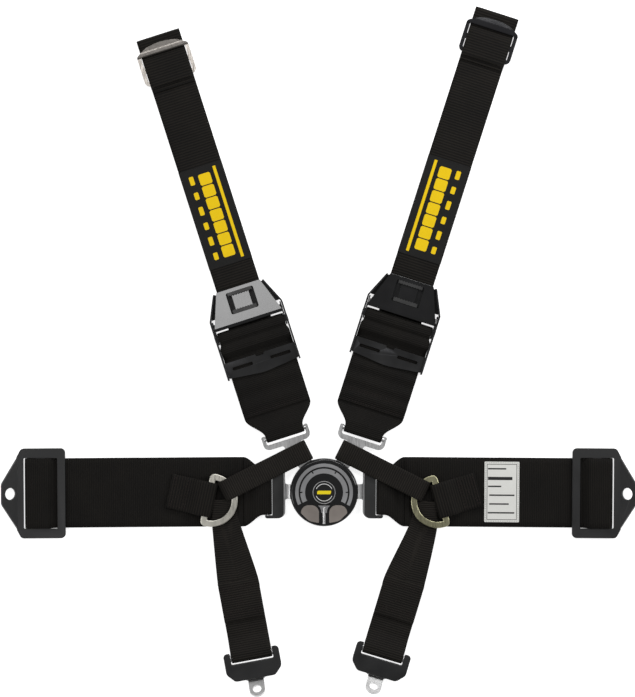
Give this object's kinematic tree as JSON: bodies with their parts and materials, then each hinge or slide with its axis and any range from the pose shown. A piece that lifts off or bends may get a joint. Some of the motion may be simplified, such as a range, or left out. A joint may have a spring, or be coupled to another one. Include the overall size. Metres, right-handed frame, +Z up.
{
  "type": "racing harness",
  "caption": "Six-point racing harness laid flat: rotary quick-release buckle, two shoulder belts with adjusters, two lap belts and two leg straps.",
  "frame": {"origin": "on the buckle's axis at its back face", "axes": "+Z up out of the buckle's face, +Y between the two shoulder belts, +X to the right lap belt seen from the front"},
  "size_m": [0.6902, 0.7525, 0.0268],
  "materials": {
    "black_steel": "satin black",
    "bright_steel": "plated",
    "spring_steel": "plain",
    "black_plastic": "moulded",
    "gloss_black": "glossy",
    "grey_inlay": "satin",
    "thumb_grey": "satin",
    "badge_black": "glossy",
    "tag_white": "woven label",
    "wide_webbing": "ribbed polyester webbing",
    "strap_webbing": "ribbed polyester webbing",
    "label_cloth": "woven label",
    "slide_steel": "gloss black",
    "anchor_black": "matt powder coat",
    "cream_steel": "plated",
    "olive_steel": "yellow zinc"
  },
  "bodies": {
    "buckle": {"base_plate": "black_steel", "housing": "black_steel", "centre_post": "bright_steel", "latch_star": "spring_steel", "return_spring": "spring_steel", "housing_screws": "bright_steel", "slot_plug": "black_plastic", "dial_clip": "spring_steel"},
    "dial_turn": {"dial": "gloss_black", "cam_rotor": "bright_steel", "outer_inlay": "grey_inlay", "inner_inlay": "grey_inlay", "left_thumb_pad": "thumb_grey", "right_thumb_pad": "thumb_grey", "dial_pin": "bright_steel", "badge": "badge_black"},
    "left_shoulder_tongue": {"left_shoulder_tongue": "bright_steel"},
    "left_shoulder": {"left_pad_webbing": "wide_webbing", "left_adjuster_frame": "black_steel", "left_adjuster_bar": "black_steel"},
    "left_lever": {"left_adjuster_lever": "gloss_black", "left_clamp_bar": "bright_steel"},
    "left_strap": {"left_strap_webbing": "strap_webbing", "left_strap_label": "label_cloth", "left_bar_slide": "slide_steel"},
    "left_lap": {"left_lap_tongue": "bright_steel", "left_lap_tongue_sleeve": "black_plastic", "left_lap_webbing": "wide_webbing", "left_lap_anchor": "anchor_black", "left_ring_tab": "strap_webbing", "left_ring": "cream_steel", "left_leg_loop": "strap_webbing", "left_leg_strap": "strap_webbing"},
    "left_crotch": {"left_crotch_anchor": "bright_steel", "left_crotch_anchor_cover": "anchor_black"},
    "right_shoulder_tongue": {"right_shoulder_tongue": "bright_steel"},
    "right_shoulder": {"right_pad_webbing": "wide_webbing", "right_adjuster_frame": "black_steel", "right_adjuster_bar": "black_steel"},
    "right_lever": {"right_adjuster_lever": "gloss_black", "right_clamp_bar": "bright_steel"},
    "right_strap": {"right_strap_webbing": "strap_webbing", "right_strap_label": "label_cloth", "right_bar_slide": "slide_steel"},
    "right_lap": {"right_lap_tongue": "bright_steel", "right_lap_tongue_sleeve": "black_plastic", "right_lap_webbing": "wide_webbing", "right_lap_anchor": "anchor_black", "right_ring_tab": "strap_webbing", "right_ring": "olive_steel", "right_leg_loop": "strap_webbing", "right_leg_strap": "strap_webbing", "approval_tag": "tag_white"},
    "right_crotch": {"right_crotch_anchor": "bright_steel", "right_crotch_anchor_cover": "anchor_black"}
  },
  "joints": [
    {"name": "dial_turn", "type": "hinge", "parent": "buckle", "child": "dial_turn", "pos_m": [0, 0, 0.018], "axis": [0, 0, -1], "range_deg": [0, 45], "stiffness_Nm_per_rad": 0.4, "springref_deg": -17.19, "deforming": ["latch_star", "return_spring", "left_leg_loop", "right_leg_loop"]},
    {"name": "left_shoulder_release", "type": "slide", "parent": "buckle", "child": "left_shoulder_tongue", "axis": [-0.5592, 0.829, 0], "range_m": [0, 0.02]},
    {"name": "left_shoulder_swing", "type": "hinge", "parent": "left_shoulder_tongue", "child": "left_shoulder", "pos_m": [-0.0425, 0.06301, 0.0095], "axis": [0.9524, 0.3049, 0], "range_deg": [0, 60]},
    {"name": "left_lever_tilt", "type": "hinge", "parent": "left_shoulder", "child": "left_lever", "pos_m": [-0.07908, 0.17729, 0.0077], "axis": [0.9524, 0.3049, 0], "range_deg": [0, 40]},
    {"name": "left_strap_adjust", "type": "slide", "parent": "left_shoulder", "child": "left_strap", "axis": [-0.3049, 0.9524, 0], "range_m": [-0.015, 0.06]},
    {"name": "left_lap_release", "type": "slide", "parent": "buckle", "child": "left_lap", "axis": [-1, -0.0079, 0], "range_m": [0, 0.02]},
    {"name": "left_crotch_tilt", "type": "hinge", "parent": "left_lap", "child": "left_crotch", "pos_m": [-0.079, -0.1788, 0.0053], "axis": [-0.9833, -0.1822, 0], "range_deg": [0, 60]},
    {"name": "right_shoulder_release", "type": "slide", "parent": "buckle", "child": "right_shoulder_tongue", "axis": [0.5592, 0.829, 0], "range_m": [0, 0.02]},
    {"name": "right_shoulder_swing", "type": "hinge", "parent": "right_shoulder_tongue", "child": "right_shoulder", "pos_m": [0.0425, 0.06301, 0.0095], "axis": [0.9524, -0.3049, 0], "range_deg": [0, 60]},
    {"name": "right_lever_tilt", "type": "hinge", "parent": "right_shoulder", "child": "right_lever", "pos_m": [0.08122, 0.18396, 0.0077], "axis": [0.9524, -0.3049, 0], "range_deg": [0, 40]},
    {"name": "right_strap_adjust", "type": "slide", "parent": "right_shoulder", "child": "right_strap", "axis": [0.3049, 0.9524, 0], "range_m": [-0.015, 0.06]},
    {"name": "right_lap_release", "type": "slide", "parent": "buckle", "child": "right_lap", "axis": [1, -0.0079, 0], "range_m": [0, 0.02]},
    {"name": "right_crotch_tilt", "type": "hinge", "parent": "right_lap", "child": "right_crotch", "pos_m": [0.0642, -0.1768, 0.0053], "axis": [-0.9573, 0.289, 0], "range_deg": [0, 60]}
  ],
  "couplings": [
    {"joint": "left_shoulder_release", "follows": "dial_turn", "m_per_rad": 0.025465},
    {"joint": "left_lap_release", "follows": "dial_turn", "m_per_rad": 0.025465},
    {"joint": "right_shoulder_release", "follows": "dial_turn", "m_per_rad": 0.025465},
    {"joint": "right_lap_release", "follows": "dial_turn", "m_per_rad": 0.025465}
  ]
}
